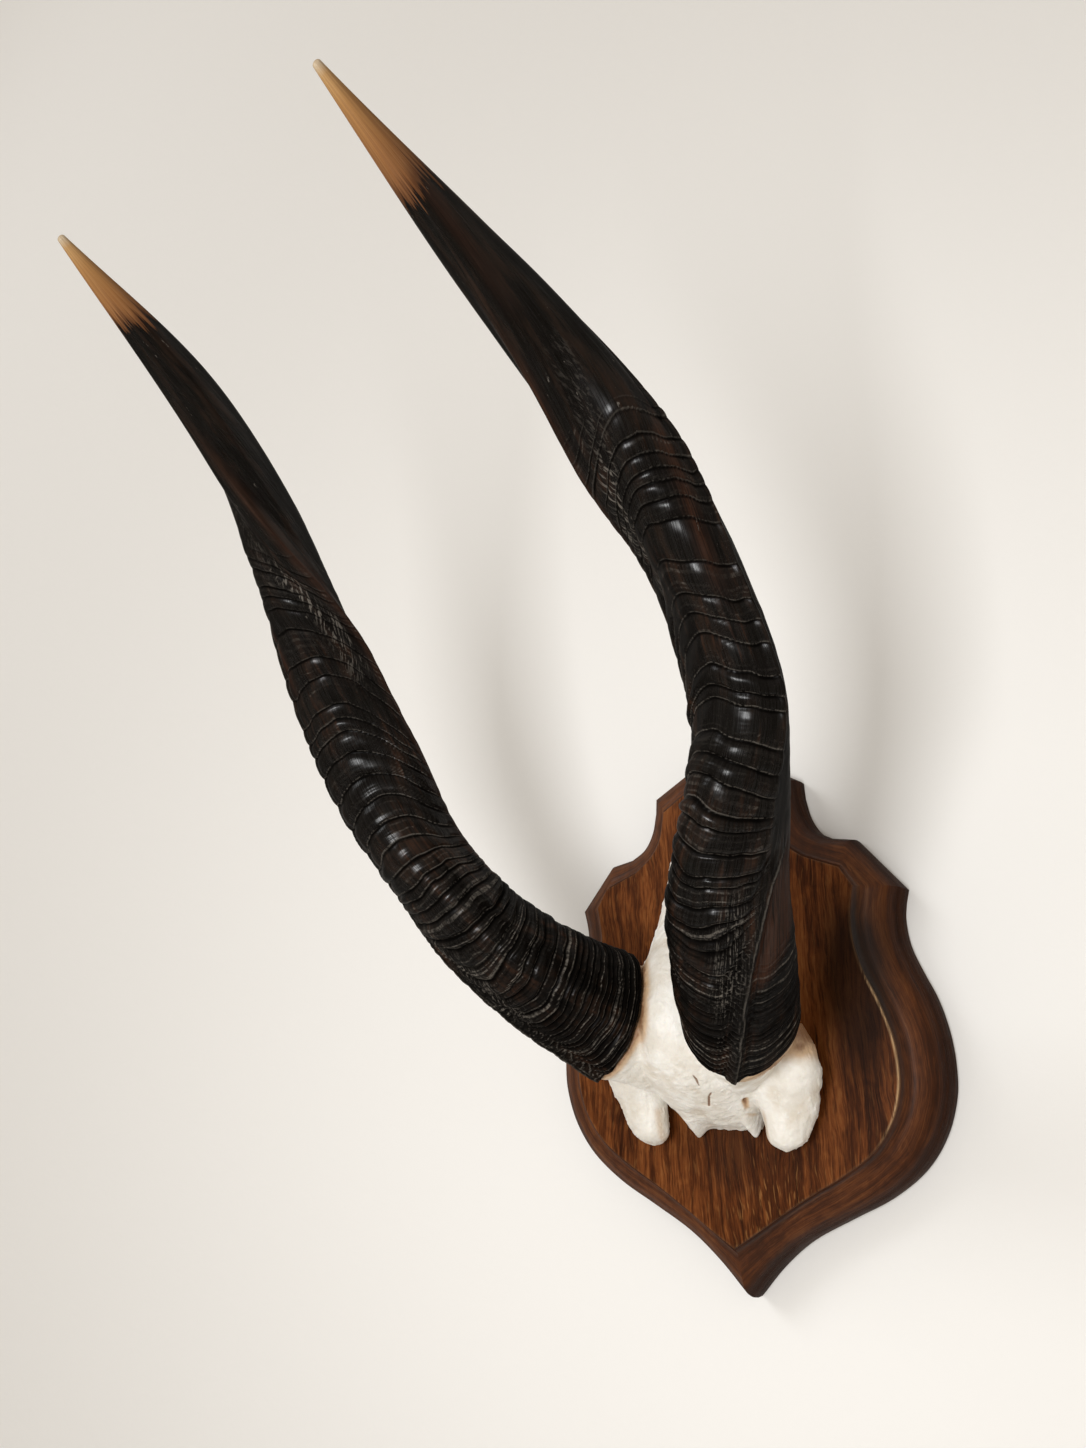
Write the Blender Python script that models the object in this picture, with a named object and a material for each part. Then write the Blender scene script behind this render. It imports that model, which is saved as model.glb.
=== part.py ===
# Antelope horn trophy on a carved wooden wall shield.
# Frame: metres, +Z up. The wall plane is y = 0 and the trophy faces -Y.
# The origin lies on the shield's back face, on the centre line, at the level of the shield's widest part.

import math

import bmesh
import bpy
from mathutils import Matrix, Vector

MM = 0.001

# Shield
SHIELD_SIDE = 8.0 * MM           # height of the straight side wall
SHIELD_THICK = 47.0 * MM         # back face to flat front panel
FIT_GAP = 0.3 * MM               # air between neighbouring pieces
# Half outlines seen from the front, in mm from the centre line and from the origin's level:
# (outer x, outer z, panel x, panel z). Both outlines are walked in the same steps.
GABLE = [(0.0, 249.0, 0.0, 221.0), (60.6, 214.0, 42.5, 194.0), (61.2, 201.0, 43.5, 187.0)]
HOLLOW = [(61.2, 201.0, 43.5, 187.0), (65.0, 184.5, 47.0, 171.0), (72.5, 171.5, 55.5, 158.0),
          (84.0, 164.5, 70.0, 146.5)]
EAR = [(84.0, 164.5, 70.0, 146.5), (101.0, 162.0, 97.0, 135.5), (134.0, 122.0, 105.5, 121.5)]
FLANK = [(134.0, 122.0, 105.5, 121.5), (131.0, 110.0, 103.5, 110.0), (129.8, 98.0, 102.0, 97.0),
         (131.8, 80.5, 103.0, 80.0), (138.5, 62.0, 108.0, 60.5), (146.5, 43.0, 116.5, 40.0),
         (151.8, 21.0, 123.0, 19.0), (153.5, -1.0, 125.5, -1.0), (151.5, -23.0, 124.0, -19.0),
         (142.5, -48.0, 117.0, -39.0), (126.3, -70.5, 103.5, -57.0), (101.8, -89.5, 82.0, -72.5),
         (73.0, -104.5, 58.5, -86.0), (43.0, -120.5, 35.5, -100.5), (20.0, -139.0, 16.0, -113.5),
         (0.0, -160.5, 0.0, -123.5)]
HOLLOW_STEPS = 9
FLANK_STEPS = 2                  # steps between two flank stations
# Moulding section: share of the way from side wall to panel, and height above the back in mm.
MOULDING = [(0.045, 17.0), (0.10, 23.0), (0.20, 30.0), (0.38, 34.8), (0.60, 37.6), (0.76, 39.0), (0.87, 40.8),
            (0.94, 43.5), (0.98, 46.2), (1.0, 47.0)]

# Horn stations from base to tip, for the horn on the +X side, in mm and degrees:
# centre x, y, z, reach of the hidden keel, reach of the front keel, two bulges, twist.
HORN = [
    (48.0, -138.5, 33.2, 46.7, 43.0, 43.6, 34.0, -80.0),
    (69.5, -190.9, 61.6, 34.0, 38.1, 40.5, 35.2, -66.0),
    (91.2, -238.1, 95.3, 28.7, 31.9, 36.2, 35.7, -50.0),
    (112.8, -269.9, 136.2, 28.5, 30.4, 28.9, 34.1, -37.0),
    (127.8, -304.2, 189.9, 33.9, 34.1, 19.2, 17.0, -24.0),
    (126.7, -359.5, 251.8, 28.7, 28.0, 21.1, 14.0, -16.0),
    (111.2, -424.4, 306.6, 22.0, 24.1, 20.2, 15.2, 47.0),
    (96.2, -498.7, 344.6, 13.8, 19.2, 15.1, 9.0, 85.0),
    (84.3, -585.1, 376.0, 2.4, 2.0, 2.0, 2.0, 100.0),
]
HORN_RINGS = 56
HORN_SIDES = 20
SOCKET_RINGS = 10                # stretch of horn that the bone is cut back to clear
KEEL_SHARPNESS = 1.2             # above 1 the section comes to two keels
BASE_SLANT = 6.5                 # the base runs back twice this far, in mm, under the front keel
BASE_SLANT_END = 0.12            # share of the length over which the slant fades out

# Skull cap: level z, half width at the shield, front depth y, all in mm.
CAP_LEVELS = [
    (-45.0, 27.0, -59.0), (-38.0, 31.0, -79.0), (-25.0, 40.0, -106.0), (-10.0, 48.0, -132.0),
    (8.0, 52.0, -147.0), (32.0, 50.0, -152.0), (56.0, 44.0, -146.0), (76.0, 39.5, -131.0),
    (96.0, 39.0, -112.0), (118.0, 38.5, -91.0), (138.0, 38.0, -74.0), (154.0, 35.0, -62.0),
    (165.0, 25.0, -54.5),
]
CAP_SIDES = 22
CAP_FULLNESS = 0.95              # below 1 the section is squarer than an ellipse
# Bone pedicle behind each horn: distance behind the horn base in mm and width factor.
PEDICLE = [(0.3, 0.965), (3.0, 0.97), (9.0, 0.90), (22.0, 0.80), (42.0, 0.70), (60.0, 0.58)]
# Brow lobe at each eye socket: centre x, y, z, half width, half depth, all in mm.
LOBE = [
    (62.0, -86.0, 26.0, 11.0, 20.0), (65.0, -80.0, 10.0, 15.5, 21.0), (62.5, -74.5, -8.0, 18.5, 20.0),
    (58.0, -69.5, -26.0, 18.5, 17.0), (54.0, -67.0, -42.0, 15.5, 14.5), (51.5, -66.0, -52.0, 11.5, 10.5),
]
LOBE_END = (50.5, -65.5, -58.0)
LOBE_SIDES = 16

# Screws that hold the skull cap from behind
CAP_SCREW_LEVELS = {"cap_screw_upper": 100.0 * MM, "cap_screw_lower": 8.0 * MM}
CAP_SCREW_R = 2.4 * MM
CAP_SCREW_HEAD_R = 4.8 * MM
CAP_SCREW_HEAD_H = 3.2 * MM
CAP_SCREW_SUNK = 2.0 * MM        # head below the back face
CAP_SCREW_LENGTH = 70.0 * MM

# Keyhole hanger plate let into the back
HANGER_Z = 188.0 * MM
HANGER_W = 18.0 * MM
HANGER_H = 56.0 * MM
HANGER_T = 2.0 * MM
HANGER_SUNK = 0.4 * MM           # plate face below the back face
KEY_MOUTH_R = 5.0 * MM
KEY_SLOT_W = 5.0 * MM
KEY_SLOT_H = 14.0 * MM           # mouth centre to slot end centre
KEY_MOUTH_DZ = -7.0 * MM
POCKET_W = 13.0 * MM
POCKET_H = 32.0 * MM
POCKET_DEPTH = 9.0 * MM
HANGER_SCREW_DZ = 22.5 * MM
HANGER_SCREW_R = 1.4 * MM
HANGER_SCREW_HEAD_R = 2.9 * MM
HANGER_SCREW_LENGTH = 16.0 * MM


for old in list(bpy.data.objects):
    bpy.data.objects.remove(old, do_unlink=True)


def material(name, colour, roughness, metallic=0.0):
    """Return a new Principled material."""
    mat = bpy.data.materials.new(name)
    mat.use_nodes = True
    shader = mat.node_tree.nodes["Principled BSDF"]
    shader.inputs["Base Color"].default_value = (*colour, 1.0)
    shader.inputs["Roughness"].default_value = roughness
    shader.inputs["Metallic"].default_value = metallic
    mat.diffuse_color = (*colour, 1.0)
    return mat


def finish(name, bm, mat=None, smooth_angle=None):
    """Turn a bmesh into a named object with outward faces."""
    bmesh.ops.recalc_face_normals(bm, faces=bm.faces)
    mesh = bpy.data.meshes.new(name)
    bm.to_mesh(mesh)
    bm.free()
    obj = bpy.data.objects.new(name, mesh)
    bpy.context.scene.collection.objects.link(obj)
    if mat is not None:
        mesh.materials.append(mat)
    if smooth_angle is not None:
        mesh.shade_smooth()
        mesh.set_sharp_from_angle(angle=smooth_angle)
    return obj


def helper(obj):
    """Keep a cutter or a joined-in body out of the finished part."""
    obj.hide_render = True
    obj.display_type = "WIRE"
    return obj


def combine(target, tool, operation):
    """Add an exact Boolean of the tool to the target."""
    mod = target.modifiers.new(operation.lower() + "_" + tool.name, "BOOLEAN")
    mod.operation = operation
    mod.solver = "EXACT"
    mod.object = tool
    helper(tool)


def smooth_through(stations, u):
    """Catmull-Rom value at u from 0 to 1 through equally spaced stations."""
    last = len(stations) - 1
    pos = min(max(u, 0.0), 1.0) * last
    i = min(int(pos), last - 1)
    f = pos - i
    p1 = stations[i]
    p2 = stations[i + 1]
    p0 = stations[i - 1] if i > 0 else tuple(2 * a - b for a, b in zip(p1, p2))
    p3 = stations[i + 2] if i + 2 <= last else tuple(2 * b - a for a, b in zip(p1, p2))
    return tuple(
        0.5 * (2 * b + (c - a) * f + (2 * a - 5 * b + 4 * c - d) * f * f + (3 * b - a - 3 * c + d) * f ** 3)
        for a, b, c, d in zip(p0, p1, p2, p3)
    )


def loft(rings, start=None, end=None):
    """Skin closed rings; each end is a flat cap, or a point when one is given."""
    bm = bmesh.new()
    rows = [[bm.verts.new(p) for p in ring] for ring in rings]
    for low, high in zip(rows, rows[1:]):
        for i in range(len(low)):
            j = (i + 1) % len(low)
            bm.faces.new((low[i], low[j], high[j], high[i]))
    for row, point in ((rows[0], start), (rows[-1], end)):
        if point is None:
            bm.faces.new(row)
            continue
        pole = bm.verts.new(point)
        for i in range(len(row)):
            bm.faces.new((row[i], row[(i + 1) % len(row)], pole))
    return bm


def turned(profile, segments, matrix):
    """Spin a (radius, height) profile that starts and ends on the axis around local Z."""
    bm = bmesh.new()
    verts = [bm.verts.new((r, 0.0, h)) for r, h in profile]
    edges = [bm.edges.new(pair) for pair in zip(verts, verts[1:])]
    bmesh.ops.spin(bm, geom=verts + edges, cent=(0, 0, 0), axis=(0, 0, 1), angle=math.tau, steps=segments,
                   use_merge=True)
    bmesh.ops.remove_doubles(bm, verts=bm.verts, dist=1e-7)
    bmesh.ops.transform(bm, matrix=matrix, verts=bm.verts)
    return bm


def along_y(x, y, z):
    """Matrix that stands local Z along -Y, into the shield, at a point."""
    return Matrix.Translation((x, y, z)) @ Matrix.Rotation(math.radians(90), 4, "X")


def box(x0, x1, y0, y1, z0, z1):
    """Closed box between six planes."""
    bm = bmesh.new()
    centre = ((x0 + x1) / 2, (y0 + y1) / 2, (z0 + z1) / 2)
    size = Matrix.Diagonal((x1 - x0, y1 - y0, z1 - z0, 1))
    bmesh.ops.create_cube(bm, size=1, matrix=Matrix.Translation(centre) @ size)
    return bm


WOOD = material("shield_wood", (0.075, 0.028, 0.011), 0.42)
BONE = material("skull_bone", (0.72, 0.68, 0.58), 0.6)
HORN_LEFT_MAT = material("horn_left_keratin", (0.018, 0.013, 0.010), 0.38)
HORN_RIGHT_MAT = material("horn_right_keratin", (0.018, 0.013, 0.010), 0.38)


# Shield: one carved board with a raised flat panel and a moulded edge.
def shield_outline():
    """Both outlines, right half from apex to tip, then the left half back up, in mm."""
    half = GABLE[:-1]
    half += [smooth_through(HOLLOW, k / HOLLOW_STEPS) for k in range(HOLLOW_STEPS + 1)]
    half += EAR[1:-1]
    spans = (len(FLANK) - 1) * FLANK_STEPS
    half += [smooth_through(FLANK, k / spans) for k in range(spans + 1)]
    return half + [(-x, z, -panel_x, panel_z) for x, z, panel_x, panel_z in half[-2:0:-1]]


def shield_ring(share, height):
    """Ring a share of the way from the outer outline to the panel outline."""
    return [
        ((x + (panel_x - x) * share) * MM, -height * MM, (z + (panel_z - z) * share) * MM)
        for x, z, panel_x, panel_z in shield_outline()
    ]


bm = loft([shield_ring(0.0, 0.0), shield_ring(0.0, SHIELD_SIDE / MM)] + [shield_ring(*step) for step in MOULDING])
shield = finish("shield", bm, WOOD, math.radians(30))


# Skull cap: one bone, sawn flat behind, with two pedicles and two brow lobes.
def cap_ring(z, half_width, front_y):
    """Level section: flat back just clear of the shield, rounded front."""
    back_y = -(SHIELD_THICK + FIT_GAP)
    depth = front_y * MM - back_y
    ring = []
    for k in range(CAP_SIDES + 1):
        a = math.pi * k / CAP_SIDES
        x = math.copysign(abs(math.cos(a)) ** CAP_FULLNESS, math.cos(a)) * half_width * MM
        ring.append((x, back_y + depth * abs(math.sin(a)) ** CAP_FULLNESS, z * MM))
    return ring


skull_cap = finish("skull_cap", loft([cap_ring(*level) for level in CAP_LEVELS]), BONE, math.radians(50))


# Horns: curved, keeled and half turned about their own axis, cut square at the base.
def horn_ring(u, side, scale=1.0, shift=0.0, grow=0.0):
    """Section at u, mirrored for side -1, scaled, grown and moved back along the axis, in mm."""
    x, y, z, reach_1, reach_2, bulge_1, bulge_2, twist = smooth_through(HORN, u)
    step = 0.002
    low = Vector(smooth_through(HORN, max(u - step, 0.0))[:3])
    high = Vector(smooth_through(HORN, min(u + step, 1.0))[:3])
    axis = (high - low).normalized()
    across = (Vector((1, 0, 0)) - axis * axis.x).normalized()
    other = axis.cross(across)
    a = math.radians(twist)
    keel = across * math.cos(a) + other * math.sin(a)
    flank = axis.cross(keel)
    centre = Vector((x, y, z)) - axis * shift
    ring = []
    for k in range(HORN_SIDES):
        p = math.tau * k / HORN_SIDES
        bulge = bulge_1 if math.sin(p) > 0 else bulge_2
        out = math.copysign(abs(math.sin(p)) ** KEEL_SHARPNESS, math.sin(p)) * (bulge + grow)
        reach = (reach_2 - reach_1) / 2 + ((reach_2 + reach_1) / 2 + 2 * grow) * math.cos(p)
        slant = BASE_SLANT * (1 + math.cos(p)) * max(0.0, 1 - u / BASE_SLANT_END) ** 2
        q = centre + (keel * reach + flank * out) * scale - axis * slant
        ring.append((q.x * side * MM, q.y * MM, q.z * MM))
    return ring


for name, side, mat in (("horn_right", 1, HORN_RIGHT_MAT), ("horn_left", -1, HORN_LEFT_MAT)):
    rings = [horn_ring(k / (HORN_RINGS - 1), side) for k in range(HORN_RINGS)]
    tip = Vector(HORN[-1][:3]) + (Vector(HORN[-1][:3]) - Vector(HORN[-2][:3])).normalized() * 1.5
    finish(name, loft(rings, None, (tip.x * side * MM, tip.y * MM, tip.z * MM)), mat, math.radians(60))
    gap = FIT_GAP / MM
    socket = [horn_ring(0.0, side, 1.0, gap, 1.5 * gap)]
    socket += [horn_ring(k / (HORN_RINGS - 1), side, 1.0, 0.0, 1.5 * gap) for k in range(1, SOCKET_RINGS)]
    combine(skull_cap, finish("socket_" + name, loft(socket)), "DIFFERENCE")
    pedicle = loft([horn_ring(0.0, side, factor, shift) for shift, factor in PEDICLE])
    combine(skull_cap, finish("pedicle_" + name, pedicle), "UNION")
    lobe_rings = []
    for x, y, z, half_width, half_depth in LOBE:
        lobe_rings.append([
            ((x + half_width * math.cos(math.tau * k / LOBE_SIDES)) * side * MM,
             (y + half_depth * math.sin(math.tau * k / LOBE_SIDES)) * MM, z * MM)
            for k in range(LOBE_SIDES)
        ])
    lobe = loft(lobe_rings, None, (LOBE_END[0] * side * MM, LOBE_END[1] * MM, LOBE_END[2] * MM))
    combine(skull_cap, finish("lobe_" + name, lobe), "UNION")


# Skull cap screws: driven from the back of the shield into the bone.
for name, z in CAP_SCREW_LEVELS.items():
    head = CAP_SCREW_HEAD_R
    screw = [(0, 0), (head, 0), (head, CAP_SCREW_HEAD_H), (CAP_SCREW_R, CAP_SCREW_HEAD_H),
             (CAP_SCREW_R, CAP_SCREW_LENGTH - 4 * MM), (0, CAP_SCREW_LENGTH)]
    steel = material(name + "_steel", (0.42, 0.40, 0.36), 0.4, 1.0)
    finish(name, turned(screw, 20, along_y(0, -CAP_SCREW_SUNK, z)), steel, math.radians(40))
    g = FIT_GAP
    deep = CAP_SCREW_SUNK + CAP_SCREW_HEAD_H + g
    hole = [(0, -1 * MM), (head + g, -1 * MM), (head + g, deep), (CAP_SCREW_R + g, deep),
            (CAP_SCREW_R + g, CAP_SCREW_SUNK + CAP_SCREW_LENGTH + g), (0, CAP_SCREW_SUNK + CAP_SCREW_LENGTH + g)]
    for target in (shield, skull_cap):
        cutter = finish("hole_" + name + "_" + target.name, turned(hole, 20, along_y(0, 0, z)))
        combine(target, cutter, "DIFFERENCE")


# Hanger: a steel keyhole plate in its own recess, with a pocket behind it for the wall screw's head.
plate_front = -HANGER_SUNK
plate_rear = plate_front - HANGER_T
g = FIT_GAP
w = HANGER_W / 2
h = HANGER_H / 2
steel = material("hanger_steel", (0.50, 0.49, 0.46), 0.35, 1.0)
plate = finish("hanger_plate", box(-w, w, plate_rear, plate_front, HANGER_Z - h, HANGER_Z + h), steel,
               math.radians(30))
recess = finish("recess", box(-w - g, w + g, plate_rear - g, 1 * MM, HANGER_Z - h - g, HANGER_Z + h + g))
combine(shield, recess, "DIFFERENCE")
pocket = finish("pocket", box(-POCKET_W / 2, POCKET_W / 2, plate_rear - POCKET_DEPTH, plate_rear + 1 * MM,
                              HANGER_Z - POCKET_H / 2, HANGER_Z + POCKET_H / 2))
combine(shield, pocket, "DIFFERENCE")
mouth_z = HANGER_Z + KEY_MOUTH_DZ
through = [(0, -2 * MM), (KEY_MOUTH_R, -2 * MM), (KEY_MOUTH_R, 6 * MM), (0, 6 * MM)]
combine(plate, finish("key_mouth", turned(through, 24, along_y(0, 0, mouth_z))), "DIFFERENCE")
slot = box(-KEY_SLOT_W / 2, KEY_SLOT_W / 2, -6 * MM, 2 * MM, mouth_z, mouth_z + KEY_SLOT_H)
combine(plate, finish("key_slot", slot), "DIFFERENCE")
for name, dz in (("hanger_screw_top", HANGER_SCREW_DZ), ("hanger_screw_bottom", -HANGER_SCREW_DZ)):
    z = HANGER_Z + dz
    head = HANGER_SCREW_HEAD_R
    shank = HANGER_SCREW_R
    start = HANGER_SUNK + 0.1 * MM
    screw = [(0, 0), (head, 0), (shank, 1.5 * MM), (shank, HANGER_SCREW_LENGTH - 3 * MM), (0, HANGER_SCREW_LENGTH)]
    steel = material(name + "_steel", (0.42, 0.40, 0.36), 0.4, 1.0)
    finish(name, turned(screw, 16, along_y(0, -start, z)), steel, math.radians(40))
    seat = [(0, -1 * MM), (head + g, -1 * MM), (head + g, g), (shank + g, 1.5 * MM + g),
            (shank + g, HANGER_SCREW_LENGTH + g), (0, HANGER_SCREW_LENGTH + g)]
    for target in (plate, shield):
        cutter = finish("seat_" + name + "_" + target.name, turned(seat, 16, along_y(0, -start, z)))
        combine(target, cutter, "DIFFERENCE")
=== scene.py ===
import math

import bmesh
import bpy
import numpy as np
from mathutils import Matrix, Vector


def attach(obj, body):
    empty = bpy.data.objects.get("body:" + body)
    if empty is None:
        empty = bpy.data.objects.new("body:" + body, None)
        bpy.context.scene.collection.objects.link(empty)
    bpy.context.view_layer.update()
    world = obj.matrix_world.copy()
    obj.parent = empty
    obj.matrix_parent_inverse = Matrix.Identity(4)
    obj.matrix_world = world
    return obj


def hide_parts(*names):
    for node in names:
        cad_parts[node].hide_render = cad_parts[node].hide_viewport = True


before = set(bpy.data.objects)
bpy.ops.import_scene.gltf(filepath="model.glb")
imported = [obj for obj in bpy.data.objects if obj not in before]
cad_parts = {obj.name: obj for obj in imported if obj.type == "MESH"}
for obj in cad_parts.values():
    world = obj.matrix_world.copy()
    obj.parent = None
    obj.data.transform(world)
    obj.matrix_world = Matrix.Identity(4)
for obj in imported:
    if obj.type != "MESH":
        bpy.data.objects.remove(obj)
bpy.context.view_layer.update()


# Room
# The trophy hangs on a painted plaster wall, lit by a soft lamp near the viewer, a wide window and the
# pale room. The wall is see-through from behind and open behind the shield, so that the back shows.
MM = 0.001


class Value:
    """An output of a material's node; sums on it add Math nodes."""

    def __init__(self, finish, socket):
        self.finish = finish
        self.socket = socket

    def sum(self, operation, *terms):
        return self.finish.add("ShaderNodeMath", {"operation": operation}, dict(enumerate(terms)))

    def __add__(self, other):
        return self.sum("ADD", self, other)

    def __sub__(self, other):
        return self.sum("SUBTRACT", self, other)

    def __rsub__(self, other):
        return self.sum("SUBTRACT", other, self)

    def __mul__(self, other):
        return self.sum("MULTIPLY", self, other)

    def __truediv__(self, other):
        return self.sum("DIVIDE", self, other)

    def size(self):
        return self.sum("ABSOLUTE", self)

    def least(self, other):
        return self.sum("MINIMUM", self, other)

    def most(self, other):
        return self.sum("MAXIMUM", self, other)

    __radd__ = __add__
    __rmul__ = __mul__


class Finish:
    """A material built on the Principled shader, whose fixed values are set by socket name."""

    def __init__(self, name, **fixed):
        self.material = bpy.data.materials.new(name)
        self.material.use_nodes = True
        self.tree = self.material.node_tree
        self.shader = self.tree.nodes["Principled BSDF"]
        for socket, value in fixed.items():
            self.shader.inputs[socket.replace("_", " ")].default_value = value

    def put(self, socket, value):
        if isinstance(value, Value):
            self.tree.links.new(value.socket, socket)
        elif isinstance(value, tuple) and len(value) == 3 and socket.type == "RGBA":
            socket.default_value = (*value, 1.0)
        else:
            socket.default_value = value

    def add(self, kind, settings=None, sockets=None, out=0):
        """Add one node: its settings first, then its sockets, and return one of its outputs."""
        node = self.tree.nodes.new(kind)
        for key, value in (settings or {}).items():
            if key == "stops":
                ramp = node.color_ramp.elements
                while len(ramp) < len(value):
                    ramp.new(0.5)
                for element, (place, colour) in zip(ramp, value):
                    element.position = place
                    element.color = (*colour, 1.0)
            else:
                setattr(node, key, value)
        for key, value in (sockets or {}).items():
            self.put(node.inputs[key], value)
        return Value(self, node.outputs[out])

    def surface(self, **sockets):
        for socket, value in sockets.items():
            self.put(self.shader.inputs[socket.replace("_", " ")], value)

    def place(self):
        """Object coordinates."""
        return self.add("ShaderNodeTexCoord", out="Object")

    def stretch(self, vector, scale, turn=(0, 0, 0)):
        return self.add("ShaderNodeMapping", None, {"Vector": vector, "Rotation": turn, "Scale": scale})

    def part(self, vector, axis):
        return self.add("ShaderNodeSeparateXYZ", None, {0: vector}, out=axis)

    def far_from(self, vector, scale, centre):
        """Distance from a place, once the pattern is stretched."""
        return self.add("ShaderNodeVectorMath", {"operation": "DISTANCE"},
                        {0: self.stretch(vector, scale), 1: centre}, out=1)

    def noise(self, vector, scale=1.0, detail=3.0, rough=0.55, warp=0.0):
        return self.add("ShaderNodeTexNoise", None, {
            "Vector": vector, "Scale": scale, "Detail": detail, "Roughness": rough, "Distortion": warp})

    def between(self, value, low, high, to_low=0.0, to_high=1.0):
        """Smooth step of a value from one range to another."""
        return self.add("ShaderNodeMapRange", {"interpolation_type": "SMOOTHSTEP"},
                        {0: value, 1: low, 2: high, 3: to_low, 4: to_high})

    def mix(self, share, colour_a, colour_b, blend="MIX"):
        return self.add("ShaderNodeMix", {"data_type": "RGBA", "blend_type": blend},
                        {0: share, 6: colour_a, 7: colour_b}, out=2)

    def ramp(self, value, stops):
        return self.add("ShaderNodeValToRGB", {"stops": stops}, {0: value})

    def bump(self, height, strength, reach):
        return self.add("ShaderNodeBump", None, {"Strength": strength, "Distance": reach, "Height": height})

    def facing(self, low, high):
        """1 where the surface faces the eye, falling to 0 toward its edges."""
        grazing = self.add("ShaderNodeLayerWeight", None, {0: 0.5}, out="Facing")
        return self.between(grazing, low, high, 1.0, 0.0)

    def stored(self, name, out="Fac"):
        """A value kept on the mesh."""
        return self.add("ShaderNodeAttribute", {"attribute_name": name}, out=out)


SHIELD_THICK = 47.0              # back face to flat front panel, mm
# Half outlines seen from the front, in mm: (outer x, outer z, panel x, panel z), walked in the same steps.
GABLE = [(0.0, 249.0, 0.0, 221.0), (60.6, 214.0, 42.5, 194.0), (61.2, 201.0, 43.5, 187.0)]
HOLLOW = [(61.2, 201.0, 43.5, 187.0), (65.0, 184.5, 47.0, 171.0), (72.5, 171.5, 55.5, 158.0),
          (84.0, 164.5, 70.0, 146.5)]
EAR = [(84.0, 164.5, 70.0, 146.5), (101.0, 162.0, 97.0, 135.5), (134.0, 122.0, 105.5, 121.5)]
FLANK = [(134.0, 122.0, 105.5, 121.5), (131.0, 110.0, 103.5, 110.0), (129.8, 98.0, 102.0, 97.0),
         (131.8, 80.5, 103.0, 80.0), (138.5, 62.0, 108.0, 60.5), (146.5, 43.0, 116.5, 40.0),
         (151.8, 21.0, 123.0, 19.0), (153.5, -1.0, 125.5, -1.0), (151.5, -23.0, 124.0, -19.0),
         (142.5, -48.0, 117.0, -39.0), (126.3, -70.5, 103.5, -57.0), (101.8, -89.5, 82.0, -72.5),
         (73.0, -104.5, 58.5, -86.0), (43.0, -120.5, 35.5, -100.5), (20.0, -139.0, 16.0, -113.5),
         (0.0, -160.5, 0.0, -123.5)]


def blend_four(a, b, c, d, f):
    """Smooth value a share f of the way from b to c, with a and d as their neighbours."""
    return 0.5 * (2 * b + (c - a) * f + (2 * a - 5 * b + 4 * c - d) * f ** 2
                  + (3 * b - a - 3 * c + d) * f ** 3)


def through(stations, share):
    """Smooth curve through equally spaced stations, at shares from 0 to 1 of the way."""
    points = np.array(stations, float)
    last = len(points) - 1
    place = np.clip(share, 0.0, 1.0) * last
    i = np.minimum(place.astype(int), last - 1)
    f = (place - i)[:, None]
    row = np.vstack([2 * points[0] - points[1], points, 2 * points[-1] - points[-2]])
    return blend_four(row[i], row[i + 1], row[i + 2], row[i + 3], f)


def shield_outline():
    """Both outlines all the way round from the apex, as rows of four numbers."""
    straight = [np.linspace(a, b, 9)[:-1] for run in (GABLE, EAR) for a, b in zip(run, run[1:])]
    hollow = through(HOLLOW, np.linspace(0, 1, 19))[:-1]
    flank = through(FLANK, np.linspace(0, 1, 91))
    half = np.vstack([straight[0], straight[1], hollow, straight[2], straight[3], flank])
    return np.vstack([half, half[-2:0:-1] * [-1, 1, -1, 1]])


OUTLINE = shield_outline()

wall_paint = Finish("wall_paint", Base_Color=(0.83, 0.82, 0.80, 1.0), Roughness=0.95)
plaster = wall_paint.stretch(wall_paint.place(), (18, 18, 18))
wall_paint.surface(Normal=wall_paint.bump(wall_paint.noise(plaster, 5.0, 5.0), 0.12, 0.002))
output = wall_paint.tree.nodes["Material Output"]
clear = wall_paint.add("ShaderNodeBsdfTransparent")
behind = wall_paint.add("ShaderNodeNewGeometry", out="Backfacing")
see_through = wall_paint.add("ShaderNodeMixShader", None,
                             {0: behind, 1: Value(wall_paint, wall_paint.shader.outputs[0]), 2: clear})
wall_paint.put(output.inputs["Surface"], see_through)

WALL_REACH = 9.0
WALL_GAP = 0.0006                # wall behind the shield's back
WALL_HOLE_SHARE = 0.992          # hole against the shield's outline, whose edge covers it
FLOOR_LEVEL = -1.5
bm = bmesh.new()
hole = bmesh.ops.create_circle(bm, segments=len(OUTLINE), radius=1.0)["verts"]
hole.sort(key=lambda v: v.index)
for vert, (x, z, _, _) in zip(hole, OUTLINE):
    vert.co = (x * WALL_HOLE_SHARE * MM, WALL_GAP, z * WALL_HOLE_SHARE * MM)
grown = bmesh.ops.extrude_edge_only(bm, edges=bm.edges[:])["geom"]
for vert in [g for g in grown if isinstance(g, bmesh.types.BMVert)]:
    vert.co = (Vector((vert.co.x, 0, vert.co.z)).normalized() * WALL_REACH).to_tuple()
    vert.co.y = WALL_GAP
bmesh.ops.recalc_face_normals(bm, faces=bm.faces)
bm.normal_update()
if sum(f.normal.y for f in bm.faces) > 0:
    bmesh.ops.reverse_faces(bm, faces=bm.faces)
wall_mesh = bpy.data.meshes.new("wall")
bm.to_mesh(wall_mesh)
bm.free()
wall = bpy.data.objects.new("wall", wall_mesh)
wall_mesh.materials.append(wall_paint.material)

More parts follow.
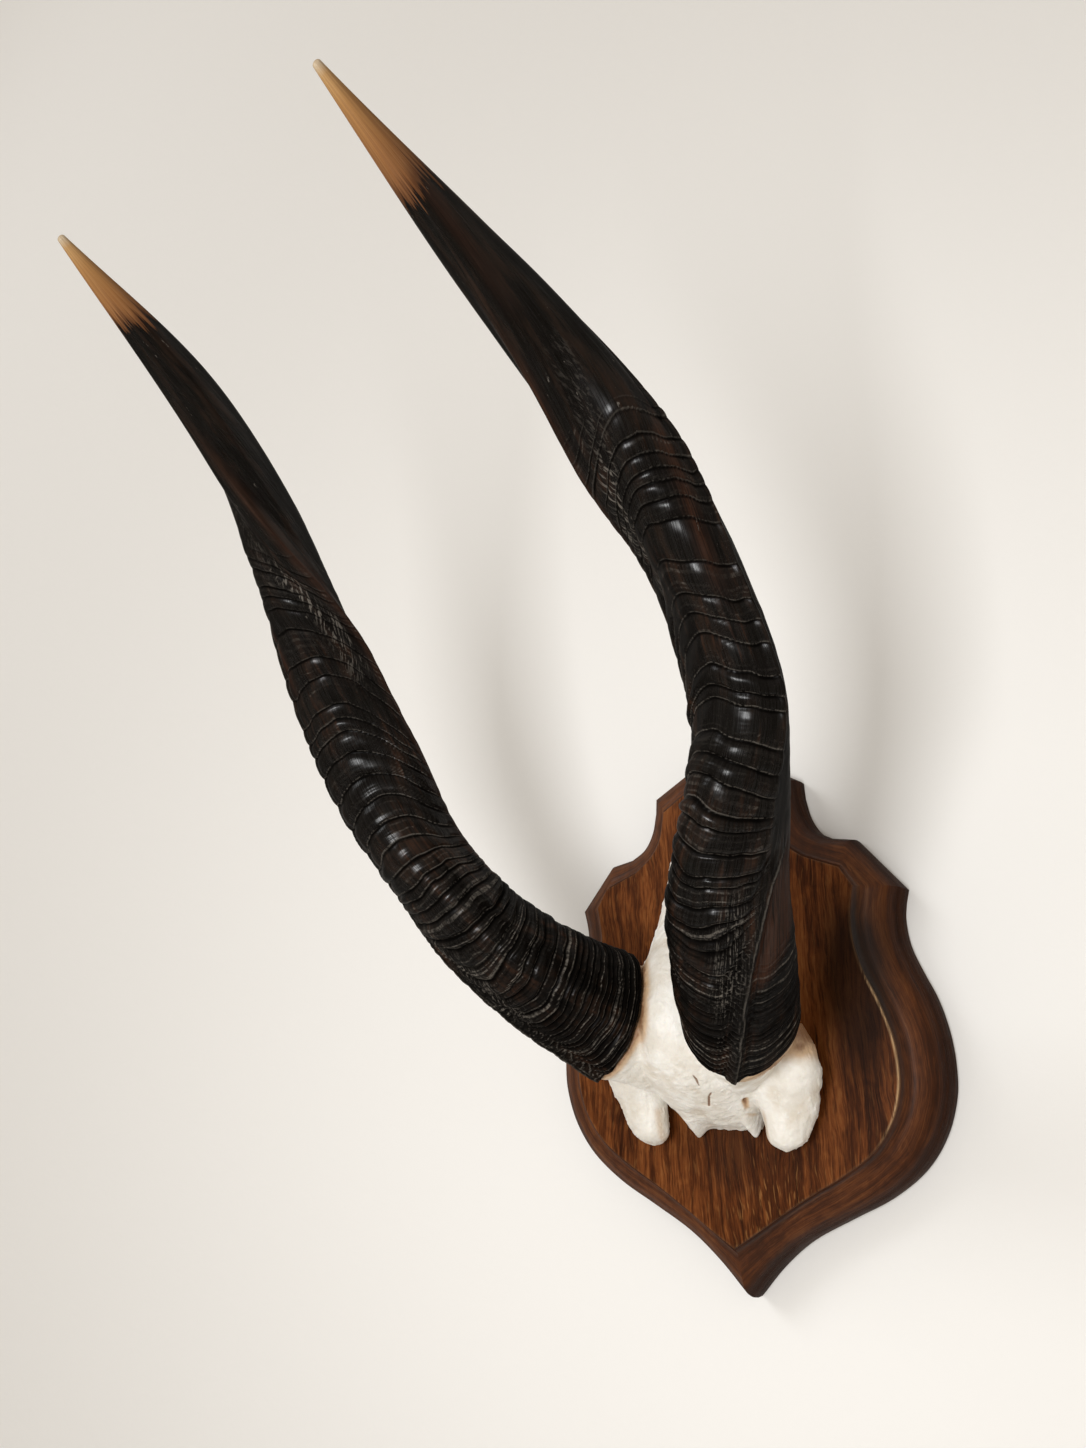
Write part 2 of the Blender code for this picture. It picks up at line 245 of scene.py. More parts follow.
floor_paint = Finish("floor_paint", Base_Color=(0.80, 0.79, 0.77, 1.0), Roughness=0.9)
scuffs = floor_paint.noise(floor_paint.stretch(floor_paint.place(), (3, 3, 3)))
floor_paint.surface(Roughness=floor_paint.between(scuffs, 0.2, 0.8, 0.8, 0.95))
bm = bmesh.new()
ground = Matrix.Translation((0, 0, FLOOR_LEVEL))
bmesh.ops.create_grid(bm, x_segments=1, y_segments=1, size=WALL_REACH, matrix=ground)
floor_mesh = bpy.data.meshes.new("floor")
bm.to_mesh(floor_mesh)
bm.free()
floor = bpy.data.objects.new("floor", floor_mesh)
floor_mesh.materials.append(floor_paint.material)
for obj in (wall, floor):
    bpy.context.scene.collection.objects.link(obj)

world = bpy.data.worlds.new("pale_room")
world.use_nodes = True
world.node_tree.nodes["Background"].inputs["Color"].default_value = (1.0, 0.91, 0.80, 1.0)
world.node_tree.nodes["Background"].inputs["Strength"].default_value = 0.57
bpy.context.scene.world = world


def lamp(name, place, target, size, power, colour):
    """Square soft lamp aimed at a point."""
    data = bpy.data.lights.new(name, "AREA")
    data.size = size
    data.energy = power
    data.color = colour
    obj = bpy.data.objects.new(name, data)
    obj.location = place
    obj.rotation_euler = (Vector(target) - Vector(place)).to_track_quat("-Z", "Y").to_euler()
    bpy.context.scene.collection.objects.link(obj)


lamp("soft_lamp", (0.125, -1.06, -0.05), (0.0, 0.0, 0.12), 0.22, 6.2, (0.97, 0.975, 0.98))
lamp("window", (-1.9, -2.6, 1.7), (0.0, 0.0, 0.1), 1.3, 31.0, (0.95, 0.975, 1.0))

camera = bpy.data.objects.new("camera", bpy.data.cameras.new("camera"))
camera.data.sensor_width = 36.0
camera.data.lens = 26.0
camera.data.clip_start = 0.01
camera.location = (0.33, -0.7986, 0.0)
camera.rotation_euler = (math.radians(90 + 17.96), 0.0, math.radians(33.08))
bpy.context.scene.collection.objects.link(camera)
bpy.context.scene.camera = camera
bpy.context.scene.view_settings.view_transform = "Standard"


# Shield
# One board of dark stained oak, sawn to a pointed shield with ears and a gable, with a wide moulding
# run round a raised flat panel. The back is flat, with a recess for the hanger and two screw holes.
LATTICE = 32                     # random values each way before the pattern repeats


def wander(seed, *axes):
    """Smooth random values from -1 to 1, one step of the lattice for each unit along the axes."""
    table = np.random.RandomState(seed).uniform(-1, 1, (LATTICE, LATTICE, LATTICE))
    axes = [np.asarray(a, float) + 7.3 for a in axes] + [np.zeros(1)] * (3 - len(axes))
    cell = [np.floor(a).astype(int) for a in axes]
    part = [a - c for a, c in zip(axes, cell)]
    part = [t * t * (3 - 2 * t) for t in part]
    total = 0.0
    for corner in range(8):
        weight = 1.0
        index = []
        for k in range(3):
            far = corner >> k & 1
            weight = weight * (part[k] if far else 1 - part[k])
            index.append((cell[k] + far) % LATTICE)
        total = total + weight * table[tuple(index)]
    return total


def sleeve(name, rings, sides, place):
    """Closed tube rolled up from a grid by place(along, turn), in metres; its seam and both ends are shut."""
    bm = bmesh.new()
    bmesh.ops.create_grid(bm, x_segments=sides, y_segments=rings, size=0.5)
    mesh = bpy.data.meshes.new(name)
    bm.to_mesh(mesh)
    flat = np.empty(len(mesh.vertices) * 3, np.float32)
    mesh.vertices.foreach_get("co", flat)
    flat = flat.reshape(-1, 3)
    around = np.round((flat[:, 0] + 0.5) * sides).astype(int) % sides
    along = np.round((flat[:, 1] + 0.5) * rings).astype(int)
    points, stored = place(along, around)
    mesh.vertices.foreach_set("co", points.astype(np.float32).ravel())
    for key, values in stored.items():
        kind, slot = ("FLOAT", "value") if values.ndim == 1 else ("FLOAT_VECTOR", "vector")
        layer = mesh.attributes.new(key, kind, "POINT")
        layer.data.foreach_set(slot, values.astype(np.float32).ravel())
    bm.free()
    bm = bmesh.new()
    bm.from_mesh(mesh)
    bmesh.ops.remove_doubles(bm, verts=bm.verts, dist=1e-6)
    bmesh.ops.holes_fill(bm, edges=[e for e in bm.edges if e.is_boundary], sides=0)
    bmesh.ops.recalc_face_normals(bm, faces=bm.faces)
    bm.to_mesh(mesh)
    bm.free()
    obj = bpy.data.objects.new(name, mesh)
    bpy.context.scene.collection.objects.link(obj)
    return obj


# Moulding section: share of the way from side wall to panel, and height above the back in mm.
MOULDING = [(0.0, 8.0), (0.045, 17.0), (0.10, 23.0), (0.20, 30.0), (0.38, 34.8), (0.60, 37.6), (0.76, 39.0),
            (0.87, 40.8), (0.94, 43.5), (0.98, 46.2)]
MOULDING_STEPS = 37


def moulding_rings():
    """Finely stepped moulding section, with rings on both sides of the two arrises."""
    lower = [(0.0, 0.0), (0.0, 7.0)]
    curve = through(MOULDING, np.linspace(0, 1, MOULDING_STEPS))
    panel = [(0.993, 46.85), (1.0, SHIELD_THICK), (1.01, SHIELD_THICK), (1.05, SHIELD_THICK)]
    return np.vstack([lower, curve, panel])


RINGS = moulding_rings()
# How far round the board's edge each step of the outline lies from the apex, in mm.
run_step = np.hypot(*(np.diff(np.vstack([OUTLINE, OUTLINE[:1]])[:, :2], axis=0).T))
RUN = np.concatenate([[0], np.cumsum(run_step)[:-1]])
RUN = np.minimum(RUN, RUN[-1] - RUN)


def shield_skin(along, around):
    share, height = RINGS[along].T
    x, z, panel_x, panel_z = OUTLINE[around].T
    points = np.stack([x + (panel_x - x) * share, -height, z + (panel_z - z) * share], 1) * MM
    arris = np.exp(-((share - 1.0) / 0.02) ** 2) * np.clip((height - 44) / 2.5, 0, 1)
    steep = np.exp(-((share - 0.93) / 0.06) ** 2)
    side_wall = 1 - np.clip((share - 0.06) / 0.34, 0, 1)
    moulded = (share < 0.985).astype(float)
    flow = np.stack([share * 30 + height, RUN[around], np.zeros(len(along))], 1)
    return points, {"arris": arris, "steep": steep, "side_wall": side_wall, "moulded": moulded, "flow": flow}


shield = sleeve("shield_board", len(RINGS) - 1, len(OUTLINE), shield_skin)

oak = Finish("stained_oak", IOR=1.06, Coat_Roughness=0.30, Coat_IOR=1.38)
board = oak.place()
x_part, y_part, z_part = oak.part(board, "X"), oak.part(board, "Y"), oak.part(board, "Z")
bend = oak.noise(oak.stretch(board, (11, 11, 5)), 1.0, 3.0, 0.5)
wavy = oak.noise(oak.stretch(board, (75, 75, 34)), 1.0, 2.0, 0.5)
moulded = oak.stored("moulded")
flow = oak.stored("flow", "Vector")
flow_across, flow_run = oak.part(flow, "X"), oak.part(flow, "Y")
grain_x = x_part + y_part * 0.8 + bend * 0.034 + wavy * 0.0055


def streaks(across, deep, long, detail=3.0, rough=0.6):
    """Streaks down the board; on the moulding they follow its run."""
    upright = oak.add("ShaderNodeCombineXYZ", None, {0: grain_x * across, 1: y_part * deep, 2: z_part * long})
    running = oak.add("ShaderNodeCombineXYZ", None, {0: (flow_across * 0.001 + wavy * 0.004) * across,
                                                     1: flow_run * long * 0.001, 2: x_part * 8})
    return oak.noise(oak.mix(moulded, upright, running), 1.0, detail, rough)


growth = streaks(190, 60, 7.0, 4.0)
fibre = streaks(1050, 500, 60)
glint = oak.between(streaks(620, 300, 75, 2.0, 0.5), 0.56, 0.70)
pores = oak.between(streaks(900, 500, 50, 2.0, 0.5), 0.58, 0.70)
broad = oak.noise(oak.stretch(board, (16, 16, 8)), 1.0, 3.0, 0.55)
curl = oak.noise(oak.stretch(board, (130, 130, 60), (0, 0.5, 0)), 1.0, 2.0, 0.5, 1.2)
tone = growth * 0.40 + fibre * 0.30 + broad * 0.40 + curl * 0.14
colour = oak.ramp(oak.between(tone, 0.44, 0.82), [
    (0.0, (0.022, 0.0062, 0.0020)), (0.30, (0.066, 0.0185, 0.0050)), (0.62, (0.145, 0.0435, 0.0110)),
    (1.0, (0.230, 0.086, 0.0245))])
colour = oak.mix(pores * 0.50, colour, (0.016, 0.0050, 0.0019))
# Light flecks in the grain, a painted highlight on them low on the panel, and darker blotches below the bone.
# Painted highlight: the flecks are brightened in one place low on the panel.
painted_highlight_spot = oak.between(oak.far_from(board, (1, 0, 0.8), (0.035, 0.0, -0.078)), 0.012, 0.050, 1.0, 0.0)
flecks_and_painted_highlight = glint * (0.14 + painted_highlight_spot * 0.30) * (1 - moulded * 0.7)
colour = oak.mix(flecks_and_painted_highlight, colour, (0.38, 0.17, 0.052))
dark_below_bone = oak.between(oak.far_from(board, (1, 0, 1.5), (0.012, 0.0, -0.088)), 0.020, 0.062, 1.0, 0.0)
blotched = oak.between(broad + curl * 0.4, 0.45, 0.75)
colour = oak.mix(dark_below_bone * blotched * 0.60, colour, (0.016, 0.008, 0.0055))
colour = oak.mix(moulded * 0.42, colour, (0.030, 0.0100, 0.0040))
# Painted shade: the steep cove beside the panel and the moulding's side wall are darkened.
colour = oak.mix(oak.stored("steep") * 0.45, colour, (0.020, 0.0070, 0.0030))
side_wall = oak.stored("side_wall")
colour = oak.mix(side_wall * 0.70, colour, (0.0105, 0.0040, 0.0020))
# Painted shade: the wood beside the right horn is darkened where the horn's shadow falls.
painted_shade_beside_horn = oak.far_from(board, (1, 0, 0.42), (0.100, 0.0, 0.022)) + (broad - 0.5) * 0.02
colour = oak.mix(oak.between(painted_shade_beside_horn, 0.015, 0.041, 0.90, 0.0), colour, (0.0060, 0.0024, 0.0012))
# The arris round the panel is worn lighter; on the right flank it is rubbed bare, with a painted highlight.
arris = oak.stored("arris")
worn = oak.between(fibre + wavy * 0.4, 0.45, 0.85)
rubbed_and_lit = oak.between(x_part, 0.090, 0.112) * oak.between(z_part, -0.058, -0.030)
rubbed_and_lit = rubbed_and_lit * oak.between(z_part, 0.075, 0.030)
colour = oak.mix(arris * (rubbed_and_lit * worn * 0.75 + worn * 0.07), colour, (0.55, 0.36, 0.19))
rough = oak.between(fibre, 0.3, 0.7, 0.42, 0.58) - moulded * 0.08
wax = (moulded * 0.45 + 0.12) * (1 - side_wall) * oak.facing(0.45, 0.8)
figure = oak.bump(fibre * 0.5 + growth * 0.5 - pores * 0.9 + curl * 0.4, 0.55, 0.0007)
oak.surface(Base_Color=colour, Roughness=rough, Coat_Weight=wax, Normal=figure)
shield.data.materials.append(oak.material)


def shade(obj, degrees):
    """Smooth faces, with sharp edges above an angle."""
    obj.data.shade_smooth()
    obj.data.set_sharp_from_angle(angle=math.radians(degrees))


def carve(target, cutter):
    """Cut one closed shape out of another, then drop the cutter."""
    cut = target.modifiers.new("cut", "BOOLEAN")
    cut.operation = "DIFFERENCE"
    cut.solver = "EXACT"
    cut.object = cutter
    settle(target)
    bpy.data.objects.remove(cutter)


def settle(obj):
    """Make an object's modified shape its own mesh."""
    made = bpy.data.meshes.new_from_object(obj.evaluated_get(bpy.context.evaluated_depsgraph_get()))
    obj.modifiers.clear()
    obj.data = made


def drum(name, profile, level):
    """Turned shape from (radius, depth) steps in mm, standing into the shield along -Y on its midline."""
    bm = bmesh.new()
    verts = [bm.verts.new((r * MM, 0.0, h * MM)) for r, h in profile]
    edges = [bm.edges.new(pair) for pair in zip(verts, verts[1:])]
    bmesh.ops.spin(bm, geom=verts + edges, cent=(0, 0, 0), axis=(0, 0, 1), angle=math.tau, steps=32,
                   use_merge=True)
    bmesh.ops.remove_doubles(bm, verts=bm.verts, dist=1e-7)
    stand = Matrix.Translation((0, 0, level * MM)) @ Matrix.Rotation(math.radians(90), 4, "X")
    bmesh.ops.transform(bm, matrix=stand, verts=bm.verts)
    bmesh.ops.recalc_face_normals(bm, faces=bm.faces)
    mesh = bpy.data.meshes.new(name)
    bm.to_mesh(mesh)
    bm.free()
    obj = bpy.data.objects.new(name, mesh)
    bpy.context.scene.collection.objects.link(obj)
    return obj


def block(name, x0, x1, y0, y1, z0, z1):
    """Closed block between six planes in mm."""
    bm = bmesh.new()
    size = Matrix.Diagonal(((x1 - x0) * MM, (y1 - y0) * MM, (z1 - z0) * MM, 1))
    middle = Matrix.Translation(((x0 + x1) / 2 * MM, (y0 + y1) / 2 * MM, (z0 + z1) / 2 * MM))
    bmesh.ops.create_cube(bm, size=1, matrix=middle @ size)
    mesh = bpy.data.meshes.new(name)
    bm.to_mesh(mesh)
    bm.free()
    obj = bpy.data.objects.new(name, mesh)
    bpy.context.scene.collection.objects.link(obj)
    return obj


CAP_SCREW_LEVELS = (100.0, 8.0)
SCREW_HOLE = [(0, -1), (5.1, -1), (5.1, 5.5), (2.7, 5.5), (2.7, 49), (0, 49)]
HANGER_LEVEL = 188
RECESS_HALF_WIDTH, RECESS_HALF_HEIGHT, RECESS_DEPTH = 9.3, 28.3, 2.7
POCKET_HALF_WIDTH, POCKET_HALF_HEIGHT, POCKET_DEPTH = 6.5, 16, 11.4
POCKET_START = 1.4               # inside the recess, so that the two cuts meet
for level in CAP_SCREW_LEVELS:
    carve(shield, drum("screw_hole", SCREW_HOLE, level))
carve(shield, block("hanger_recess", -RECESS_HALF_WIDTH, RECESS_HALF_WIDTH, -RECESS_DEPTH, 1,
                    HANGER_LEVEL - RECESS_HALF_HEIGHT, HANGER_LEVEL + RECESS_HALF_HEIGHT))
carve(shield, block("keyhole_pocket", -POCKET_HALF_WIDTH, POCKET_HALF_WIDTH, -POCKET_DEPTH, -POCKET_START,
                    HANGER_LEVEL - POCKET_HALF_HEIGHT, HANGER_LEVEL + POCKET_HALF_HEIGHT))
shade(shield, 28)
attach(shield, "root")
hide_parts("shield")


# Skull cap
# The whitened bone of the forehead, sawn flat behind, with the rims of both eye sockets hanging as lobes
# and a short bony stump under each horn. It is screwed to the shield from behind.
CAP_LEVELS = [                   # level z, half width at the shield, front y, in mm
    (-45.0, 27.0, -59.0), (-38.0, 31.0, -79.0), (-25.0, 40.0, -106.0), (-10.0, 48.0, -132.0),
    (8.0, 52.0, -147.0), (32.0, 50.0, -152.0), (56.0, 44.0, -146.0), (76.0, 39.5, -131.0),
    (96.0, 39.0, -112.0), (118.0, 38.5, -91.0), (138.0, 38.0, -74.0), (154.0, 35.0, -62.0),
    (165.0, 25.0, -54.5)]
CAP_BACK = -47.3
CAP_FULLNESS = 0.95
LOBE = [                         # centre x, y, z, half width, half depth, in mm
    (62.0, -86.0, 26.0, 11.0, 20.0), (65.0, -80.0, 10.0, 15.5, 21.0), (62.5, -74.5, -8.0, 18.5, 20.0),
    (58.0, -69.5, -26.0, 18.5, 17.0), (54.0, -67.0, -42.0, 15.5, 14.5), (51.5, -66.0, -52.0, 11.5, 10.5),
    (50.5, -65.5, -58.0, 1.0, 1.0)]
STUMP = [(0.0, 0.95), (3.0, 0.965), (9.0, 0.90), (22.0, 0.80), (42.0, 0.70), (60.0, 0.58)]
# Horn stations from base to tip, for the horn on the +X side, in mm and degrees:
# centre x, y, z, reach of the hidden keel, reach of the front keel, two bulges, twist.
HORN = [
    (48.0, -138.5, 33.2, 46.7, 43.0, 43.6, 34.0, -80.0),
    (69.5, -190.9, 61.6, 34.0, 38.1, 40.5, 35.2, -66.0),
    (91.2, -238.1, 95.3, 28.7, 31.9, 36.2, 35.7, -50.0),
    (112.8, -269.9, 136.2, 28.5, 30.4, 28.9, 34.1, -37.0),
    (127.8, -304.2, 189.9, 33.9, 34.1, 19.2, 17.0, -24.0),
    (126.7, -359.5, 251.8, 28.7, 28.0, 21.1, 14.0, -16.0),
    (111.2, -424.4, 306.6, 22.0, 24.1, 20.2, 15.2, 47.0),
    (96.2, -498.7, 344.6, 13.8, 19.2, 15.1, 9.0, 85.0),
    (84.3, -585.1, 376.0, 2.4, 2.0, 2.0, 2.0, 100.0)]
KEEL_SHARPNESS = 1.2
BASE_SLANT = 6.5                 # half the mm that the horn's base reaches further back at its front keel
BASE_SLANT_END = 0.12            # share of the length over which that fades
AXIS_STEP = 0.002                # share of the length on either side that gives the horn's direction


def unit(vectors):
    return vectors / np.linalg.norm(vectors, axis=-1, keepdims=True)


def horn_skin(u, p, side, scale=1.0, shift=0.0, relief=0.0):
    """Points of a horn in mm, at shares u of its length and angles p round it; relief lifts them."""
    x, y, z, reach_1, reach_2, bulge_1, bulge_2, twist = through(HORN, u).T
    centre = np.stack([x, y, z], 1)
    ahead = through(HORN, np.minimum(u + AXIS_STEP, 1.0))[:, :3]
    astern = through(HORN, np.maximum(u - AXIS_STEP, 0.0))[:, :3]
    axis = unit(ahead - astern)
    across = unit(np.array([1.0, 0.0, 0.0]) - axis * axis[:, :1])
    other = np.cross(axis, across)
    angle = np.radians(twist)[:, None]
    keel = across * np.cos(angle) + other * np.sin(angle)
    flank = np.cross(axis, keel)
    sine, cosine = np.sin(p), np.cos(p)
    bulge = np.where(sine > 0, bulge_1, bulge_2)
    out = np.sign(sine) * np.abs(sine) ** KEEL_SHARPNESS * bulge
    mean_reach = (reach_2 + reach_1) / 2
    reach = (reach_2 - reach_1) / 2 + mean_reach * cosine
    slant = BASE_SLANT * (1 + cosine) * np.maximum(0.0, 1 - u / BASE_SLANT_END) ** 2
    normal = unit(keel * (cosine * bulge)[:, None] + flank * (sine * mean_reach)[:, None])
    scale, shift = np.broadcast_to(scale, u.shape)[:, None], np.broadcast_to(shift, u.shape)
    points = centre + (keel * reach[:, None] + flank * out[:, None]) * scale
    points = points + normal * np.reshape(relief, (-1, 1)) - axis * (slant + shift)[:, None]
    return points * [side, 1, 1]


CAP_RINGS = 60
CAP_FRONT_STEPS = 48             # steps round the front, before those along the flat back
CAP_BACK_STEPS = 12


def cap_skin(along, around):
    z, half, front = through(CAP_LEVELS, along / CAP_RINGS).T
    at_back = around > CAP_FRONT_STEPS
    a = np.pi * np.minimum(around, CAP_FRONT_STEPS) / CAP_FRONT_STEPS
    back = np.maximum(around - CAP_FRONT_STEPS, 0) / CAP_BACK_STEPS
    x = np.sign(np.cos(a)) * np.abs(np.cos(a)) ** CAP_FULLNESS * half
    x = np.where(at_back, (-1 + 2 * back) * half, x)
    y = CAP_BACK + (front - CAP_BACK) * np.abs(np.sin(a)) ** CAP_FULLNESS
    y = np.where(at_back, CAP_BACK, y)
    return np.stack([x, y, z], 1) * MM, {}


SOCKET_RINGS, STUMP_RINGS, LOBE_RINGS = 40, 20, 24
STUMP_SIDES, LOBE_SIDES = 40, 36
SOCKET_LENGTH = 0.16             # share of the horn that the cut through the bone follows
SOCKET_PLAY = 0.45               # mm between horn and bone
BASE_PLAY = 0.3                  # mm under the horn's base
WEB_WIDTH = 15.0                 # mm that the right lobe spreads toward the middle

cap = sleeve("skull_bone_cap", CAP_RINGS, CAP_FRONT_STEPS + CAP_BACK_STEPS, cap_skin)
parts = []
for side in (1, -1):
    def socket_skin(along, around):
        u = along / SOCKET_RINGS * SOCKET_LENGTH
        shift = np.where(along == 0, BASE_PLAY, 0.0)
        return horn_skin(u, math.tau * around / STUMP_SIDES, side, 1.0, shift, SOCKET_PLAY) * MM, {}

    def stump_skin(along, around):
        shift, factor = through(STUMP, along / STUMP_RINGS).T
        turn = math.tau * around / STUMP_SIDES
        return horn_skin(np.zeros(len(along)), turn, side, factor, shift) * MM, {}

    def lobe_skin(along, around):
        x, y, z, half, deep = through(LOBE, along / LOBE_RINGS).T
        p = math.tau * around / LOBE_SIDES
        web = WEB_WIDTH * np.exp(-((z + 12) / 15) ** 2) * (side > 0) * np.maximum(0, -np.cos(p)) ** 1.5
        x = (x + half * np.cos(p) - web) * side
        return np.stack([x, y + deep * np.sin(p) - web * 0.35, z], 1) * MM, {}

    carve(cap, sleeve("socket", SOCKET_RINGS, STUMP_SIDES, socket_skin))
    parts.append(sleeve("stump", STUMP_RINGS, STUMP_SIDES, stump_skin))
    parts.append(sleeve("lobe", LOBE_RINGS, LOBE_SIDES, lobe_skin))
for part in parts:
    join = cap.modifiers.new("join", "BOOLEAN")
    join.operation = "UNION"
    join.solver = "EXACT"
    join.object = part
    settle(cap)
    bpy.data.objects.remove(part)
remesh = cap.modifiers.new("even", "REMESH")
remesh.mode = "VOXEL"
remesh.voxel_size = 0.00112      # as fine as the limit on triangles lets it be
remesh.adaptivity = 0.0
settle(cap)

# Broken and healed places, as lines of points in mm: hairline cracks, a raised flake, a nerve hole, the
# underside of the right socket's rim, painted with brown shade, and a fold.
CRACKS = [[(14.1, -131.4, -6.9), (14.7, -128.4, -10.1), (13.8, -122.1, -13.9)],
          [(17.6, -112.0, -18.5), (14.7, -109.0, -21.2), (12.4, -104.4, -24.5), (9.5, -98.4, -28.0)]]
FLAKES = [[(8.4, -131.9, -8.8), (11.9, -132.8, -6.3), (15.4, -129.7, -8.2), (19.2, -125.6, -10.1),
           (18.5, -118.2, -14.6)]]
HOLES = [[(31.5, -87.0, -24.5), (30.6, -80.4, -30.7)]]
UNDER_RIM = [[(56.0, -136.0, -13.0), (70.2, -131.0, -4.0), (79.0, -120.0, 5.0), (76.0, -92.0, 12.0)]]
FOLDS = [[(27.5, -77.1, -33.9), (30.4, -69.3, -34.4), (33.9, -62.2, -35.2)]]
POINT_LEFT, POINT_RIGHT = -19.0, 26.5      # broken points of the lower edge


def away_from(points, lines):
    """Distance of each point from the nearest of the lines."""
    nearest = np.full(len(points), 1e3)
    for line in lines:
        for a, b in zip(np.array(line), np.array(line)[1:]):
            share = np.clip((points - a) @ (b - a) / ((b - a) @ (b - a)), 0, 1)[:, None]
            nearest = np.minimum(nearest, np.linalg.norm(points - a - share * (b - a), axis=1))
    return nearest


def soft_step(value, low, high):
    t = np.clip((value - low) / (high - low), 0, 1)
    return t * t * (3 - 2 * t)


def hump(distance, reach, power=2):
    """1 at no distance, fading over the reach."""
    return np.exp(-(distance / reach) ** power)


RIM_STEPS = 120


mesh = cap.data
co = np.empty(len(mesh.vertices) * 3, np.float32)
mesh.vertices.foreach_get("co", co)
normal = np.empty(len(mesh.vertices) * 3, np.float32)
mesh.vertices.foreach_get("normal", normal)
co, normal = co.reshape(-1, 3) / MM, normal.reshape(-1, 3)
rim_turn = np.linspace(0, math.tau, RIM_STEPS + 1)[:-1]
rims = [horn_skin(np.full(RIM_STEPS, 0.004), rim_turn, side) for side in (1, -1)]
to_right, to_left = (np.min(np.linalg.norm(co[:, None, :] - rim[None, :, :], axis=2), axis=1) for rim in rims)
# Stain round the horn rims, nerve hole and fold; painted brown shade on lobe tops, under the rim, inside the
# lobes.
stain = np.maximum(1.1 * hump(to_left, 8.0), 0.35 * hump(to_right, 2.2))
outer = soft_step(np.abs(co[:, 0]), 46, 60) * soft_step(co[:, 2], -10, 22)
stain = np.maximum(stain, np.maximum(outer, 0.9 * hump(away_from(co, UNDER_RIM), 9.0)))
to_crack, to_flake = away_from(co, CRACKS), away_from(co, FLAKES)
to_hole, to_fold = away_from(co, HOLES), away_from(co, FOLDS)
stain = np.maximum(stain, hump(to_hole, 2.6))
stain = np.maximum(stain, 0.75 * hump(to_fold, 1.6))
lobe_inside = soft_step(-co[:, 2], 26, 34) * hump(np.abs(co[:, 0]) - 41, 3.0)
stain = np.maximum(stain, 0.35 * lobe_inside)
free = (co[:, 1] < CAP_BACK - 2).astype(float)
lift = wander(3, *(co / 14).T) * 0.8 + wander(5, *(co / 5).T) * 0.40
lift = lift + np.maximum(0, wander(7, *(co / 2.6).T) - 0.35) * 1.2
lift = lift - 0.7 * hump(to_crack, 0.8) + 0.9 * hump(to_flake, 1.1)
rough_edge = wander(12, *(co / 2.2).T) * 0.9
lift = lift - 2.6 * hump(to_hole + rough_edge, 1.9) - 1.0 * hump(to_fold + rough_edge, 1.6)
scallop = soft_step(np.abs(co[:, 0]), 72, 80) * wander(8, co[:, 2] / 4.5) * 0.8
moved = co + normal * ((lift + scallop) * free)[:, None]
drop = 6.5 * hump(co[:, 0] - POINT_LEFT, 5.5) + 7.5 * hump(co[:, 0] - POINT_RIGHT, 5.0)
drop = drop + wander(9, co[:, 0] / 4.0) * 0.9
low_edge = soft_step(-co[:, 2], 30, 45) * (np.abs(co[:, 0]) < 36) * soft_step(-co[:, 1], 49, 56)
moved[:, 2] -= drop * low_edge
mesh.vertices.foreach_set("co", (moved * MM).astype(np.float32).ravel())
for key, values in {"stain": stain, "crack": to_crack, "sunken": np.clip(-lift, 0, 1)}.items():
    mesh.attributes.new(key, "FLOAT", "POINT").data.foreach_set("value", values.astype(np.float32))

bone = Finish("whitened_bone", IOR=1.42, Subsurface_Weight=0.05, Subsurface_Scale=0.002)
bone.shader.inputs["Subsurface Radius"].default_value = (1.0, 0.6, 0.35)
spot = bone.place()
cloud = bone.noise(bone.stretch(spot, (38, 38, 38)), 1.0, 4.0, 0.6)
fine = bone.noise(bone.stretch(spot, (520, 520, 240)), 1.0, 4.0, 0.6)
speck = bone.noise(bone.stretch(spot, (330, 330, 330)), 1.0, 2.0, 0.5)
wrinkle = bone.noise(bone.stretch(spot, (150, 150, 110)), 1.0, 3.0, 0.55, 0.6)
chalk = bone.between(cloud * 0.75 + wrinkle * 0.25, 0.3, 0.7)
tint = bone.ramp(chalk, [(0.0, (0.70, 0.655, 0.58)), (0.5, (0.80, 0.77, 0.71)), (1.0, (0.88, 0.865, 0.825))])
# Painted shade: the bone's sunken places, holes and folds are darkened toward tan.
tint = bone.mix(bone.between(bone.stored("sunken") + fine * 0.3, 0.20, 0.85) * 0.35, tint, (0.56, 0.46, 0.33))
# The left lobe is duller than the rest.
left_part = bone.between(bone.part(spot, "X"), -0.060, -0.036, 1.0, 0.0)
tint = bone.mix(left_part * 0.45, tint, (0.50, 0.455, 0.385))
# Stain, and painted brown shade under the horns and along the lobes, darken the bone toward tan and brown.
stain_and_shade_veil = bone.stored("stain") * (0.55 + cloud * 0.5 + speck * 0.4)
tint = bone.mix(bone.between(stain_and_shade_veil, 0.10, 0.60) * 0.75, tint, (0.52, 0.31, 0.135))
tint = bone.mix(bone.between(stain_and_shade_veil, 0.55, 1.00) * 0.90, tint, (0.21, 0.095, 0.038))
hairline = bone.between(bone.stored("crack") + fine * 0.6, 0.85, 1.40, 1.0, 0.0)
tint = bone.mix(hairline * 0.9, tint, (0.17, 0.070, 0.024))
bone.surface(Base_Color=tint, Roughness=bone.between(fine, 0.3, 0.7, 0.36, 0.60),
             Normal=bone.bump(fine * 0.5 + speck * 0.9 + wrinkle * 1.6 + cloud, 0.55, 0.0009))
cap.data.materials.append(bone.material)
shade(cap, 80)
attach(cap, "root")
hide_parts("skull_cap")


